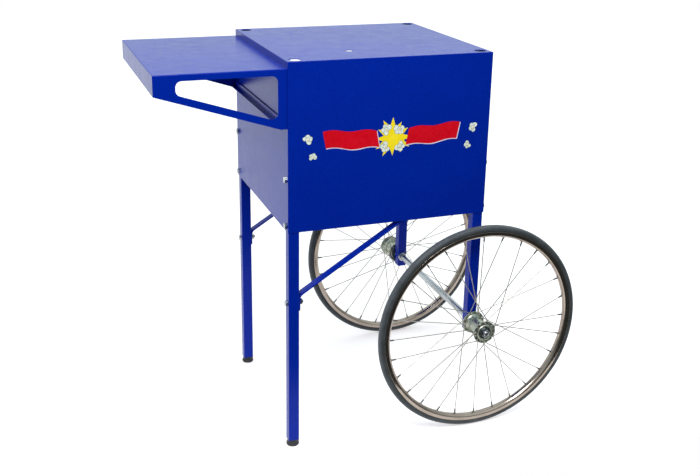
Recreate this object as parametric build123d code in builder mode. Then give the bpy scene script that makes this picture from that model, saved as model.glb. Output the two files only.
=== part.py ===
"""Wheeled stand for a popcorn machine: an open-backed sheet cabinet with a side shelf,
two long legs on levelling feet, and two short legs that carry a spoked wheel each.

The frame stands on its base plane: +X runs from the shelf towards the wheels, the decorated
front faces -Y, and +Z is up.  Everything is in millimetres.
"""
from build123d import *
import os

# ---- Cabinet ----
cabinet_length = 480.0        # along X
cabinet_width = 460.0         # along Y
cabinet_height = 380.0
deck_height = 920.0           # from the ground to the top of the deck
sheet = 1.5                   # thickness of every folded panel
edge_radius = 1.2             # rounding on the outer edges of the cabinet
deck_angle = 15.0             # both legs of the strips welded under the deck
floor_raise = 25.0            # underside of the floor above the cabinet's bottom edge
floor_angle_width = 25.0      # flat legs of the strips that carry the floor
corner_gap = 1.0              # between a leg and what stops beside it
side_return = 20.0            # inward fold at the back edge of each side
rail_depth = 50.0             # rail under the deck's back edge
rail_fold = 15.0

# ---- Holes in the deck ----
foot_hole_radius = 13.5       # take the rubber feet of the machine
foot_hole_inset = 22.0
drain_hole_radius = 9.5
drain_hole_x = -69.0          # from the deck's centre
drain_hole_y = -133.0

# ---- Side shelf ----
shelf_length = 280.0
shelf_width = 452.0
shelf_drop = 15.0             # shelf surface below the deck
shelf_end_depth = 44.0
shelf_lip = 25.0
gusset_depth = 130.0
gusset_toe = 14.0             # flat at the bottom of each gusset, beside the wall
cut_outer_margin = 46.0
cut_wall_margin = 20.0
cut_top_margin = 14.0
cut_bottom_margin = 16.5
cut_radius = 13.0
fold_radius = 2.2
wall_flange = 20.0
wall_rail_height = 15.0
wall_rail_fold = 12.0

# ---- Legs and braces ----
leg_size = 25.0
leg_wall = 1.5
leg_corner = 2.5
leg_overlap = 135.0           # length of leg inside the cabinet
long_leg_clearance = 16.0     # from the ground to the end of a long leg
short_leg_drop = 24.0         # end of a short leg below the axle
cap_height = 5.0
cap_plug = 15.0
brace_thickness = 3.0
brace_width = 21.0             # narrower than the leg, so that it clears the floor strips
brace_tab = 38.0
brace_hole_drop = 173.0       # leg hole below the cabinet
brace_run = 284.0             # from the leg to the upper bend

# ---- Screws: M8 on the panels and braces, M6 on the shelf ----
bolt_radius = 4.0
bolt_flats = 13.0
bolt_head = 5.3
bolt_nut = 6.5
bolt_tail = 3.0
panel_bolt_low = 13.0         # lower screw above the cabinet's bottom edge
panel_bolt_pitch = 107.0
shelf_bolt_radius = 3.0
shelf_bolt_flats = 10.0
shelf_bolt_head = 4.0
shelf_nut = 5.0
shelf_bolt_top = 45.0         # upper shelf screw below the shelf surface
shelf_bolt_pitch = 55.0
hex_chamfer = 0.6
hole_clearance = 0.2          # radial, round a screw shank

# ---- Levelling feet ----
foot_radius = 15.0
foot_neck_radius = 12.0
foot_height = 14.0
foot_edge = 1.5
stem_radius = 4.0
stem_length = 36.0
stem_clearance = 0.05         # radial running fit in the insert
insert_plug = 22.0

# ---- Axle ----
axle_radius = 6.0
sleeve_radius = 8.5
washer_thickness = 2.2
washer_radius = 12.0
axle_nut_flats = 18.0
axle_nut_height = 10.0
axle_tail = 4.0
axle_leg_clearance = 0.1
axle_float = 0.3              # free play at each side of a hub
bush_clearance = 0.05         # radial running fit on the axle

# ---- Wheels ----
wheel_radius = 260.0
tyre_width = 21.0
tyre_shoulder_depth = 10.0    # depths are measured inwards from the tread
tyre_seat_depth = 21.5
tyre_bevel_depth = 5.0
tyre_bevel_half = 9.0         # half width at the bevel and at the flat of the tread
tyre_tread_half = 4.2
rim_edge_depth = 14.0
rim_base_depth = 26.5
rim_width = 20.0
rim_base_half = 4.0
rim_wall = 1.6
hub_length = 64.0
hub_barrel_radius = 17.0
hub_bore_radius = 15.0
hub_flange_radius = 28.0
hub_flange_thickness = 3.0
hub_flange_gap = 58.0         # between the middles of the two flanges
bush_flange_radius = 20.0
bush_flange_thickness = 4.0
bush_length = 14.0
bush_recess = 6.0
spokes_per_flange = 14
spoke_radius = 1.0
spoke_circle_radius = 24.0
spoke_cross = 2               # holes that each spoke is turned from its own radius
spoke_stand_off = 1.0         # outer spokes clear the flange edge by bowing out this far
spoke_head_radius = 1.9
spoke_head_height = 1.2
nipple_radius = 2.0
nipple_length = 13.0

# ---- Decal on the front ----
decal_thickness = 0.2
decal_centre_drop = 180.0     # middle of the decal below the deck
ribbon_inner = 34.0           # inner end of each ribbon from the decal's middle
ribbon_length = 128.0
ribbon_height = 44.0
ribbon_slant = 12.0
ribbon_rise = 7.0
burst_points = 12
burst_outer = 44.0
burst_inner = 24.0
burst_tip = 1.0
puff_radius = 9.0
puff_ring = 7.0
puff_places = ((198.0, 10.0), (186.0, -30.0), (15.0, 19.0), (17.0, -20.0))  # right half, mirrored

# ---- Places worked out from the sizes above ----
leg_offset_x = cabinet_length / 2 - sheet - leg_size / 2
leg_offset_y = cabinet_width / 2 - sheet - leg_size / 2
leg_outer_y = leg_offset_y + leg_size / 2
leg_inner_y = leg_offset_y - leg_size / 2
overall_left = cabinet_length / 2 + shelf_length
overall_right = leg_offset_x + wheel_radius
cabinet_x = (overall_left - overall_right) / 2
cabinet_bottom = deck_height - cabinet_height
panel_top = deck_height - sheet
wall_x = cabinet_x - cabinet_length / 2
shelf_top = deck_height - shelf_drop
shelf_end_x = wall_x - shelf_length
left_leg_x = cabinet_x - leg_offset_x
axle_x = cabinet_x + leg_offset_x
leg_top = cabinet_bottom + leg_overlap
wheel_hub_start = leg_outer_y + washer_thickness + axle_float + bush_flange_thickness
wheel_y = wheel_hub_start + hub_length / 2
hub_recess_y = wheel_hub_start + hub_length - bush_recess
end_washer_y = hub_recess_y + axle_float
axle_end_y = end_washer_y + washer_thickness + axle_nut_height + axle_tail
panel_bolt_z = cabinet_bottom + panel_bolt_low
brace_hole_z = cabinet_bottom - brace_hole_drop
leg_face_x = left_leg_x + leg_size / 2
shelf_bolt_z = shelf_top - shelf_bolt_top
floor_z = cabinet_bottom + floor_raise
floor_angle_z = floor_z - sheet
brace_top_x = leg_face_x + brace_run + brace_tab / 2
foot_hole_span_x = cabinet_length - 2 * foot_hole_inset
foot_hole_span_y = cabinet_width - 2 * foot_hole_inset
deck_angle_end = foot_hole_inset + foot_hole_radius + corner_gap
tyre_shoulder_radius = wheel_radius - tyre_shoulder_depth
tyre_bevel_radius = wheel_radius - tyre_bevel_depth
tyre_seat_radius = wheel_radius - tyre_seat_depth
rim_edge_radius = wheel_radius - rim_edge_depth
rim_base_radius = wheel_radius - rim_base_depth

os.makedirs("parts", exist_ok=True)


def save(part, label):
    """Label one finished piece and write its STEP file."""
    part.label = label
    export_step(part, f"parts/{label}.step")


def grouped(part, places):
    """Copies of one small piece at several places, kept as separate solids."""
    with BuildPart() as group:
        with Locations(*places):
            add(part)
    return group.part


def hex_bolt(radius, flats, head, reach):
    """Hexagon screw: its head stands on XY and its shank runs down by the reach."""
    with BuildPart() as bolt:
        with BuildSketch(Plane.XY):
            RegularPolygon(radius=flats / 2, side_count=6, major_radius=False)
        extrude(amount=head)
        chamfer(bolt.faces().sort_by(Axis.Z)[-1].edges(), length=hex_chamfer)
        with BuildSketch(Plane.XY):
            Circle(radius)
        extrude(amount=-reach)
    return bolt.part


def hex_nut(radius, flats, height):
    """Hexagon nut standing on XY, bored to the size of its screw."""
    with BuildPart() as nut:
        with BuildSketch(Plane.XY):
            RegularPolygon(radius=flats / 2, side_count=6, major_radius=False)
        extrude(amount=height)
        chamfer(nut.faces().sort_by(Axis.Z)[-1].edges(), length=hex_chamfer)
        with BuildSketch(Plane.XY):
            Circle(radius)
        extrude(amount=height, mode=Mode.SUBTRACT)
    return nut.part


def washer(outer_radius):
    """Flat washer on XY for the axle."""
    with BuildPart() as ring:
        with BuildSketch(Plane.XY):
            Circle(outer_radius)
            Circle(axle_radius, mode=Mode.SUBTRACT)
        extrude(amount=washer_thickness)
    return ring.part


def facing(x, y, z, direction):
    """Place whose local Z points along the given direction."""
    return Plane(origin=(x, y, z), z_dir=direction).location


# ---------------------------------------------------------------- cabinet
def build_top_panel():
    """Flat deck with four holes for the machine's feet and one small hole."""
    deck = Plane((cabinet_x, 0, panel_top))
    with BuildPart() as top_panel:
        with BuildSketch(deck):
            Rectangle(cabinet_length, cabinet_width)
        extrude(amount=sheet)
        fillet(top_panel.edges().filter_by(Axis.Z), radius=edge_radius)
        fillet(top_panel.faces().sort_by(Axis.Z)[-1].edges(), radius=edge_radius)
        with BuildSketch(deck):
            with GridLocations(foot_hole_span_x, foot_hole_span_y, 2, 2):
                Circle(foot_hole_radius)
            with Locations((drain_hole_x, drain_hole_y)):
                Circle(drain_hole_radius)
        extrude(amount=sheet, mode=Mode.SUBTRACT)
    save(top_panel.part, "top_panel")


def angle_strip(width, height, length):
    """Folded strip along X: its flat leg lies under XY from y = 0 and its upright leg hangs at y = 0."""
    with BuildPart() as strip:
        with BuildSketch(Plane.YZ.offset(-length / 2)):
            with BuildLine():
                Polyline(
                    (0, 0),
                    (width, 0),
                    (width, -sheet),
                    (sheet, -sheet),
                    (sheet, -height),
                    (0, -height),
                    close=True,
                )
            make_face()
        extrude(amount=length)
    return strip.part


def build_deck_angles():
    """Three strips welded into the corner between the deck and the walls."""
    front_strip = angle_strip(deck_angle, deck_angle, cabinet_length - 2 * deck_angle_end)
    side_strip = angle_strip(deck_angle, deck_angle, cabinet_width - 2 * deck_angle_end)
    inner_x = cabinet_length / 2 - sheet
    inner_y = cabinet_width / 2 - sheet
    with BuildPart() as deck_angles:
        with Locations(Location((cabinet_x, -inner_y, panel_top))):
            add(front_strip)
        with Locations(Location((cabinet_x + inner_x, 0, panel_top), (0, 0, 90))):
            add(side_strip)
        with Locations(Location((cabinet_x - inner_x, 0, panel_top), (0, 0, -90))):
            add(side_strip)
    save(deck_angles.part, "deck_angles")


def build_front_panel():
    """Flat front, with both upright outer edges rounded."""
    with BuildPart() as front_panel:
        with BuildSketch(Plane((cabinet_x, -cabinet_width / 2 + sheet / 2, cabinet_bottom))):
            Rectangle(cabinet_length, sheet)
        extrude(amount=cabinet_height - sheet)
        corners = front_panel.edges().filter_by(Axis.Z).group_by(Axis.Y)[0]
        fillet(corners, radius=edge_radius)
    save(front_panel.part, "front_panel")


def build_side_panel(side, label):
    """Side wall with a fold at the back opening; side is -1 for the left and 1 for the right."""
    outer_x = cabinet_x + side * cabinet_length / 2
    bolt_faces = [
        facing(outer_x, y, panel_bolt_z + step * panel_bolt_pitch, (side, 0, 0))
        for y in (-leg_offset_y, leg_offset_y)
        for step in (0, 1)
    ]
    front_y = -cabinet_width / 2 + sheet
    back_y = cabinet_width / 2
    with BuildPart() as side_panel:
        with BuildSketch(Plane((outer_x, 0, cabinet_bottom))):
            with BuildLine():
                Polyline(
                    (0, front_y),
                    (0, back_y),
                    (-side * (sheet + side_return), back_y),
                    (-side * (sheet + side_return), back_y - sheet),
                    (-side * sheet, back_y - sheet),
                    (-side * sheet, front_y),
                    close=True,
                )
            make_face()
        extrude(amount=cabinet_height - sheet)
        outer_back = side_panel.edges().filter_by(Axis.Z).group_by(Axis.Y)[-1].sort_by(Axis.X)
        fillet(outer_back[0 if side < 0 else -1], radius=edge_radius)
        with Locations(*bolt_faces):
            Hole(bolt_radius + hole_clearance, depth=2 * sheet)
        if side < 0:
            with Locations(*shelf_bolt_places(wall_x)):
                Hole(shelf_bolt_radius + hole_clearance, depth=2 * sheet)
    save(side_panel.part, label)


def build_cabinet_floor():
    """Flat storage floor, cut away round the legs and drilled for the braces."""
    notch = leg_size + corner_gap
    inner_x = cabinet_length - 2 * sheet
    inner_y = cabinet_width - 2 * sheet
    with BuildPart() as cabinet_floor:
        with BuildSketch(Plane((cabinet_x, 0, floor_z))):
            Rectangle(inner_x, inner_y)
            with GridLocations(inner_x, inner_y, 2, 2):
                Rectangle(2 * notch, 2 * notch, mode=Mode.SUBTRACT)
        extrude(amount=sheet)
        with BuildSketch(Plane((brace_top_x, 0, floor_z))):
            with GridLocations(0, 2 * leg_offset_y, 1, 2):
                Circle(bolt_radius + hole_clearance)
        extrude(amount=sheet, mode=Mode.SUBTRACT)
    save(cabinet_floor.part, "cabinet_floor")


def build_floor_angles():
    """Four strips that carry the floor, drilled with it for the braces."""
    notch = leg_size + corner_gap
    inner_x = cabinet_length / 2 - sheet
    inner_y = cabinet_width / 2 - sheet
    long_strip = angle_strip(floor_angle_width, floor_raise, 2 * (inner_x - notch))
    side_strip = angle_strip(floor_angle_width, floor_raise, 2 * (inner_y - notch))
    with BuildPart() as floor_angles:
        with Locations(Location((cabinet_x, -inner_y, floor_z))):
            add(long_strip)
        with Locations(Location((cabinet_x, inner_y, floor_z), (0, 0, 180))):
            add(long_strip)
        with Locations(Location((cabinet_x + inner_x, 0, floor_z), (0, 0, 90))):
            add(side_strip)
        with Locations(Location((cabinet_x - inner_x, 0, floor_z), (0, 0, -90))):
            add(side_strip)
        with BuildSketch(Plane((brace_top_x, 0, floor_angle_z))):
            with GridLocations(0, 2 * leg_offset_y, 1, 2):
                Circle(bolt_radius + hole_clearance)
        extrude(amount=sheet, mode=Mode.SUBTRACT)
    save(floor_angles.part, "floor_angles")


def build_rear_top_rail():
    """Folded rail across the back opening, welded under the deck's back edge."""
    web_y = cabinet_width / 2 - sheet
    with BuildPart() as rear_top_rail:
        with BuildSketch(Plane.YZ.offset(cabinet_x - cabinet_length / 2 + sheet)):
            with BuildLine():
                Polyline(
                    (web_y, panel_top),
                    (web_y, panel_top - rail_depth),
                    (web_y - rail_fold, panel_top - rail_depth),
                    (web_y - rail_fold, panel_top - rail_depth + sheet),
                    (web_y - sheet, panel_top - rail_depth + sheet),
                    (web_y - sheet, panel_top),
                    close=True,
                )
            make_face()
        extrude(amount=cabinet_length - 2 * sheet)
    save(rear_top_rail.part, "rear_top_rail")


# ---------------------------------------------------------------- shelf
def shelf_bolt_places(x):
    """Four places on the left wall where the shelf is screwed on, facing the cabinet's inside."""
    bolt_y = shelf_width / 2 - sheet - wall_flange / 2
    return [
        facing(x, y, shelf_bolt_z - step * shelf_bolt_pitch, (-1, 0, 0))
        for y in (-bolt_y, bolt_y)
        for step in (0, 1)
    ]


def build_shelf_tray():
    """Shelf folded from one sheet: top, end with a return lip, and a cut-out gusset each side."""
    bottom = shelf_top - gusset_depth
    slope = (gusset_depth - shelf_end_depth) / (shelf_length - gusset_toe)
    cut_left = shelf_end_x + cut_outer_margin
    cut_right = wall_x - cut_wall_margin
    cut_top = shelf_top - cut_top_margin
    cut_left_z = shelf_top - shelf_end_depth - slope * cut_outer_margin + cut_bottom_margin
    cut_right_z = cut_left_z - slope * (cut_right - cut_left)
    with BuildPart() as shelf_tray:
        with BuildSketch(Plane.XY.offset(shelf_top)):
            with Locations((shelf_end_x + shelf_length / 2, 0)):
                Rectangle(shelf_length, shelf_width)
        extrude(amount=-sheet)
        with BuildSketch(Plane.XY.offset(shelf_top)):
            with Locations((shelf_end_x + sheet / 2, 0)):
                Rectangle(sheet, shelf_width)
        extrude(amount=-shelf_end_depth)
        with BuildSketch(Plane.XY.offset(shelf_top - shelf_end_depth)):
            with Locations((shelf_end_x + shelf_lip / 2, 0)):
                Rectangle(shelf_lip, shelf_width - 2 * sheet)
        extrude(amount=sheet)
        with BuildSketch(Plane.XZ.offset(shelf_width / 2)) as gusset:
            with BuildLine():
                Polyline(
                    (shelf_end_x, shelf_top),
                    (wall_x, shelf_top),
                    (wall_x, bottom),
                    (wall_x - gusset_toe, bottom),
                    (shelf_end_x, shelf_top - shelf_end_depth),
                    close=True,
                )
            make_face()
        extrude(amount=-sheet)
        with BuildSketch(Plane.XZ.offset(shelf_width / 2)) as cut_out:
            with BuildLine():
                Polyline(
                    (cut_left, cut_top),
                    (cut_right, cut_top),
                    (cut_right, cut_right_z),
                    (cut_left, cut_left_z),
                    close=True,
                )
            make_face()
            fillet(cut_out.vertices(), radius=cut_radius)
        extrude(amount=-sheet, mode=Mode.SUBTRACT)
        with BuildSketch(Plane.YZ.offset(wall_x)):
            with Locations((-shelf_width / 2 + sheet + wall_flange / 2, shelf_top - gusset_depth / 2)):
                Rectangle(wall_flange, gusset_depth)
        extrude(amount=-sheet)
        mirror(about=Plane.XZ)
        top_folds = shelf_tray.faces().sort_by(Axis.Z)[-1].edges().sort_by(Axis.X)[:-1]
        fillet(top_folds, radius=fold_radius)
        with Locations(*shelf_bolt_places(wall_x - sheet)):
            Hole(shelf_bolt_radius + hole_clearance, depth=2 * sheet)
    save(shelf_tray.part, "shelf_tray")


def build_shelf_wall_rail():
    """Angle along the wall that ties the feet of the two gussets together."""
    rail_z = shelf_top - gusset_depth
    rail_x = wall_x - sheet
    with BuildPart() as shelf_wall_rail:
        with BuildSketch(Plane.XZ.offset(-(shelf_width / 2 - sheet))):
            with BuildLine():
                Polyline(
                    (rail_x, rail_z),
                    (rail_x, rail_z + wall_rail_height),
                    (rail_x - sheet, rail_z + wall_rail_height),
                    (rail_x - sheet, rail_z + sheet),
                    (rail_x - wall_rail_fold, rail_z + sheet),
                    (rail_x - wall_rail_fold, rail_z),
                    close=True,
                )
            make_face()
        extrude(amount=shelf_width - 2 * sheet)
    save(shelf_wall_rail.part, "shelf_wall_rail")


def build_shelf_fixings():
    """Screws from inside the cabinet, with nuts under the shelf."""
    inside_x = wall_x + sheet
    grip = 2 * sheet
    heads = [
        facing(place.position.X, place.position.Y, place.position.Z, (1, 0, 0))
        for place in shelf_bolt_places(inside_x)
    ]
    reach = grip + shelf_nut + bolt_tail
    bolt = hex_bolt(shelf_bolt_radius, shelf_bolt_flats, shelf_bolt_head, reach)
    save(grouped(bolt, heads), "shelf_bolts")
    nut = hex_nut(shelf_bolt_radius, shelf_bolt_flats, shelf_nut)
    save(grouped(nut, shelf_bolt_places(inside_x - grip)), "shelf_nuts")


# ---------------------------------------------------------------- legs
def square_tube(x, y, bottom, top):
    """Square tube leg standing at x, y, drilled for the two panel screws."""
    side = 1 if x > cabinet_x else -1
    with BuildPart() as tube:
        with BuildSketch(Plane((x, y, bottom))):
            RectangleRounded(leg_size, leg_size, leg_corner)
            RectangleRounded(
                leg_size - 2 * leg_wall, leg_size - 2 * leg_wall, leg_corner - leg_wall, mode=Mode.SUBTRACT
            )
        extrude(amount=top - bottom)
        face_x = x + side * leg_size / 2
        levels = [panel_bolt_z, panel_bolt_z + panel_bolt_pitch]
        if side < 0:
            levels.append(brace_hole_z)
        with Locations(*[facing(face_x, y, level, (side, 0, 0)) for level in levels]):
            Hole(bolt_radius + hole_clearance, depth=leg_size)
        if side > 0:
            with Locations(facing(x, y - leg_size / 2, wheel_radius, (0, -1, 0))):
                Hole(axle_radius + axle_leg_clearance, depth=leg_size)
    return tube.part


def build_long_leg(y, name):
    """Long leg with the threaded plug that holds its levelling foot."""
    save(square_tube(left_leg_x, y, long_leg_clearance, leg_top), f"{name}_long_leg")
    plug_size = leg_size - 2 * leg_wall
    with BuildPart() as insert:
        with BuildSketch(Plane((left_leg_x, y, foot_height))):
            RectangleRounded(leg_size, leg_size, leg_corner)
        extrude(amount=long_leg_clearance - foot_height)
        with BuildSketch(Plane((left_leg_x, y, long_leg_clearance))):
            RectangleRounded(plug_size, plug_size, leg_corner - leg_wall)
        extrude(amount=insert_plug)
        with BuildSketch(Plane((left_leg_x, y, foot_height))):
            Circle(stem_radius + stem_clearance)
        extrude(amount=long_leg_clearance - foot_height + insert_plug, mode=Mode.SUBTRACT)
    save(insert.part, f"{name}_leg_insert")


def build_short_leg(y, name):
    """Short leg that carries the axle, closed by a rounded cap."""
    leg_end = wheel_radius - short_leg_drop
    save(square_tube(axle_x, y, leg_end, leg_top), f"{name}_short_leg")
    plug_size = leg_size - 2 * leg_wall
    with BuildPart() as cap:
        with BuildSketch(Plane((axle_x, y, leg_end))):
            RectangleRounded(leg_size, leg_size, leg_corner)
        extrude(amount=-cap_height)
        fillet(cap.faces().sort_by(Axis.Z)[0].edges(), radius=cap_height - sheet)
        with BuildSketch(Plane((axle_x, y, leg_end))):
            RectangleRounded(plug_size, plug_size, leg_corner - leg_wall)
        extrude(amount=cap_plug)
    save(cap.part, f"{name}_short_leg_cap")


def build_foot(y, name):
    """Levelling foot: a stepped pad and the threaded stem that screws into the leg."""
    with BuildPart() as pad:
        with BuildSketch(Plane.XZ.offset(-y)):
            with BuildLine():
                Polyline(
                    (left_leg_x, 0),
                    (left_leg_x + foot_radius - foot_edge, 0),
                    (left_leg_x + foot_radius, foot_edge),
                    (left_leg_x + foot_radius, foot_height / 2),
                    (left_leg_x + foot_neck_radius, foot_height),
                    (left_leg_x, foot_height),
                    close=True,
                )
            make_face()
        revolve(axis=Axis((left_leg_x, y, 0), (0, 0, 1)))
        with BuildSketch(Plane((left_leg_x, y, foot_height))):
            Circle(stem_radius)
        extrude(amount=-foot_height / 2, mode=Mode.SUBTRACT)
    save(pad.part, f"{name}_foot_pad")
    with BuildPart() as stem:
        with BuildSketch(Plane((left_leg_x, y, foot_height / 2))):
            Circle(stem_radius)
        extrude(amount=stem_length)
        chamfer(stem.faces().sort_by(Axis.Z)[-1].edges(), length=hex_chamfer)
    save(stem.part, f"{name}_foot_stem")


def build_brace(y, name):
    """Flat bar from the leg up to the cabinet floor, bent at both ends into a bolted tab."""
    tab_bottom = brace_hole_z - brace_tab / 2
    tab_top = brace_hole_z + brace_tab / 2
    top_z = floor_angle_z - brace_thickness
    bend_x = brace_top_x - brace_tab / 2
    with BuildPart() as brace:
        with BuildSketch(Plane.XZ.offset(-y - brace_width / 2)):
            with BuildLine() as spine:
                Polyline(
                    (leg_face_x + brace_thickness / 2, tab_bottom),
                    (leg_face_x + brace_thickness / 2, tab_top),
                    (bend_x, top_z + brace_thickness / 2),
                    (bend_x + brace_tab, top_z + brace_thickness / 2),
                )
                offset(amount=brace_thickness / 2, side=Side.BOTH, kind=Kind.INTERSECTION)
            make_face(spine.wires()[-1].edges())
        extrude(amount=brace_width)
        with Locations(facing(leg_face_x + brace_thickness, y, brace_hole_z, (1, 0, 0))):
            Hole(bolt_radius + hole_clearance, depth=2 * brace_thickness)
        with Locations(facing(brace_top_x, y, top_z, (0, 0, -1))):
            Hole(bolt_radius + hole_clearance, depth=2 * brace_thickness)
    save(brace.part, f"{name}_brace")


def build_brace_fixings():
    """Screws through the legs and through the floor that hold the two braces."""
    sides = (-leg_offset_y, leg_offset_y)
    leg_grip = leg_size + brace_thickness
    leg_bolt = hex_bolt(bolt_radius, bolt_flats, bolt_head, leg_grip + bolt_nut + bolt_tail)
    head_places = [facing(leg_face_x - leg_size, y, brace_hole_z, (-1, 0, 0)) for y in sides]
    save(grouped(leg_bolt, head_places), "brace_leg_bolts")
    nut = hex_nut(bolt_radius, bolt_flats, bolt_nut)
    nut_places = [facing(leg_face_x + brace_thickness, y, brace_hole_z, (1, 0, 0)) for y in sides]
    save(grouped(nut, nut_places), "brace_leg_nuts")
    floor_grip = brace_thickness + 2 * sheet
    floor_bolt = hex_bolt(bolt_radius, bolt_flats, bolt_head, floor_grip + bolt_nut + bolt_tail)
    floor_heads = [facing(brace_top_x, y, floor_z + sheet, (0, 0, 1)) for y in sides]
    save(grouped(floor_bolt, floor_heads), "brace_floor_bolts")
    under_z = floor_angle_z - brace_thickness
    floor_nuts = [facing(brace_top_x, y, under_z, (0, 0, -1)) for y in sides]
    save(grouped(nut, floor_nuts), "brace_floor_nuts")


def build_panel_fixings():
    """Screws that hold the four legs to the side panels."""
    grip = sheet + leg_size
    bolt = hex_bolt(bolt_radius, bolt_flats, bolt_head, grip + bolt_nut + bolt_tail)
    nut = hex_nut(bolt_radius, bolt_flats, bolt_nut)
    heads = []
    tails = []
    for side in (-1, 1):
        for y in (-leg_offset_y, leg_offset_y):
            for step in (0, 1):
                level = panel_bolt_z + step * panel_bolt_pitch
                outer_x = cabinet_x + side * cabinet_length / 2
                heads.append(facing(outer_x, y, level, (side, 0, 0)))
                tails.append(facing(outer_x - side * grip, y, level, (-side, 0, 0)))
    save(grouped(bolt, heads), "panel_bolts")
    save(grouped(nut, tails), "panel_nuts")


# ---------------------------------------------------------------- axle
def build_axle():
    """Rod through both short legs, its spacer tube, and the washers and nuts along it."""
    with BuildPart() as axle_rod:
        with BuildSketch(Plane.XZ.offset(-axle_end_y)):
            with Locations((axle_x, wheel_radius)):
                Circle(axle_radius)
        extrude(amount=2 * axle_end_y)
        chamfer(axle_rod.edges().filter_by(GeomType.CIRCLE), length=hex_chamfer)
    save(axle_rod.part, "axle_rod")
    sleeve_end = leg_inner_y - washer_thickness
    with BuildPart() as axle_sleeve:
        with BuildSketch(Plane.XZ.offset(-sleeve_end)):
            with Locations((axle_x, wheel_radius)):
                Circle(sleeve_radius)
                Circle(axle_radius, mode=Mode.SUBTRACT)
        extrude(amount=2 * sleeve_end)
    save(axle_sleeve.part, "axle_sleeve")
    nut = hex_nut(axle_radius, axle_nut_flats, axle_nut_height)
    ring = washer(washer_radius)
    stations = {
        "axle_inner_washers": (ring, sleeve_end),
        "axle_leg_washers": (ring, leg_outer_y),
        "axle_end_washers": (ring, end_washer_y),
        "axle_nuts": (nut, end_washer_y + washer_thickness),
    }
    for label, (piece, y) in stations.items():
        places = [facing(axle_x, side * y, wheel_radius, (0, side, 0)) for side in (-1, 1)]
        save(grouped(piece, places), label)


# ---------------------------------------------------------------- wheels
def wheel_plane(side):
    """Middle plane of a wheel, its local Z pointing away from the cart."""
    return Plane(origin=(axle_x, side * wheel_y, wheel_radius), x_dir=(1, 0, 0), z_dir=(0, side, 0))


def ring_of(outline, side):
    """Turn a closed outline of (radius, height) points about the wheel's axis."""
    middle = wheel_plane(side)
    section = Plane(origin=middle.origin, x_dir=middle.x_dir, z_dir=-middle.y_dir)
    with BuildPart() as ring:
        with BuildSketch(section):
            with BuildLine():
                Polyline(*outline, close=True)
            make_face()
        revolve(axis=Axis(middle.origin, middle.z_dir))
    return ring


def tyre_outline():
    """Solid tyre: a straight-sided seat in the rim under a rounded tread."""
    seat = rim_width / 2 - rim_wall
    crown = tyre_width / 2
    return [
        (tyre_seat_radius, -seat),
        (rim_edge_radius, -seat),
        (tyre_shoulder_radius, -crown),
        (tyre_bevel_radius, -tyre_bevel_half),
        (wheel_radius, -tyre_tread_half),
        (wheel_radius, tyre_tread_half),
        (tyre_bevel_radius, tyre_bevel_half),
        (tyre_shoulder_radius, crown),
        (rim_edge_radius, seat),
        (tyre_seat_radius, seat),
    ]


def rim_outline():
    """Channel rim: a narrow base for the nipples, shoulders under the tyre and two side walls."""
    half = rim_width / 2
    inner_half = half - rim_wall
    outside = [
        (rim_edge_radius, -half),
        (tyre_seat_radius - rim_wall, -half),
        (rim_base_radius - rim_wall, -rim_base_half),
        (rim_base_radius - rim_wall, rim_base_half),
        (tyre_seat_radius - rim_wall, half),
        (rim_edge_radius, half),
    ]
    inside = [
        (rim_edge_radius, inner_half),
        (tyre_seat_radius, inner_half),
        (rim_base_radius, rim_base_half),
        (rim_base_radius, -rim_base_half),
        (tyre_seat_radius, -inner_half),
        (rim_edge_radius, -inner_half),
    ]
    return outside + inside


def hub_outline():
    """Half section of the hub shell: a barrel with a spoke flange near each end."""
    outline = [(hub_bore_radius, -hub_length / 2), (hub_barrel_radius, -hub_length / 2)]
    for flange_z in (-hub_flange_gap / 2, hub_flange_gap / 2):
        outline.append((hub_barrel_radius, flange_z - hub_flange_thickness / 2))
        outline.append((hub_flange_radius, flange_z - hub_flange_thickness / 2))
        outline.append((hub_flange_radius, flange_z + hub_flange_thickness / 2))
        outline.append((hub_barrel_radius, flange_z + hub_flange_thickness / 2))
    outline.append((hub_barrel_radius, hub_length / 2))
    outline.append((hub_bore_radius, hub_length / 2))
    return outline


def spoke_lines():
    """Start and end of every spoke in the wheel's own plane, and the side of its flange.

    Each entry is (start, end, flange height, head side): even spokes lie outside their flange
    and lean forwards, odd ones lie inside it and lean back, so they cross without touching.
    """
    step = 360 / spokes_per_flange
    lines = []
    for flange in (-1, 1):
        turn = 0 if flange < 0 else step / 2
        for index in range(spokes_per_flange):
            lean = 1 if index % 2 == 0 else -1
            flange_z = flange * hub_flange_gap / 2
            seat = hub_flange_thickness / 2 + spoke_radius
            if lean > 0:
                start_z = flange_z + flange * (seat + spoke_stand_off)
            else:
                start_z = flange_z - flange * seat
            hub_angle = turn + index * step
            rim_angle = hub_angle + lean * spoke_cross * step
            start = Vector(spoke_circle_radius, 0, 0).rotate(Axis.Z, hub_angle) + Vector(0, 0, start_z)
            end = Vector(rim_base_radius, 0, 0).rotate(Axis.Z, rim_angle)
            lines.append((start, end, flange_z, -lean * flange))
    return lines


def rod_between(start, end, radius):
    """Plain round rod from one point to another."""
    along = end - start
    with BuildPart() as rod:
        with BuildSketch(Plane(origin=start, z_dir=along)):
            Circle(radius)
        extrude(amount=along.length)
    return rod.part


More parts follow.
